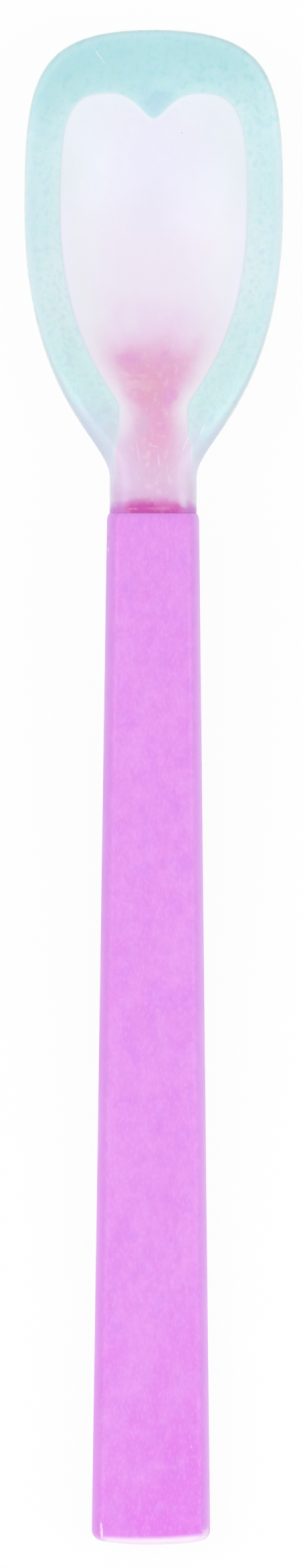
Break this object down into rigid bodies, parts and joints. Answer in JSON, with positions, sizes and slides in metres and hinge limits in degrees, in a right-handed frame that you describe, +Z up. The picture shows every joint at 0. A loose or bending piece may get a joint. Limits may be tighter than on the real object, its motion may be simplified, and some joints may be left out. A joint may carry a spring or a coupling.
{
  "type": "baby spoon",
  "caption": "Long-handled feeding spoon with a flat tapered handle, a clear core with a heart-shaped blade and a soft rim around its shallow bowl.",
  "frame": {"origin": "middle of the spoon's length and width, on the surface that it lies on", "axes": "+Y towards the bowl's tip, +Z up out of the bowl's hollow, +X to the right seen from above"},
  "size_m": [0.0256, 0.15, 0.0108],
  "materials": {
    "handle_pink": "satin moulded polypropylene",
    "core_clear": "clear, slightly milky rigid plastic",
    "rim_aqua": "translucent soft elastomer, satin"
  },
  "bodies": {
    "root": {"handle": "handle_pink", "heart_core": "core_clear", "soft_rim": "rim_aqua"}
  },
  "joints": []
}
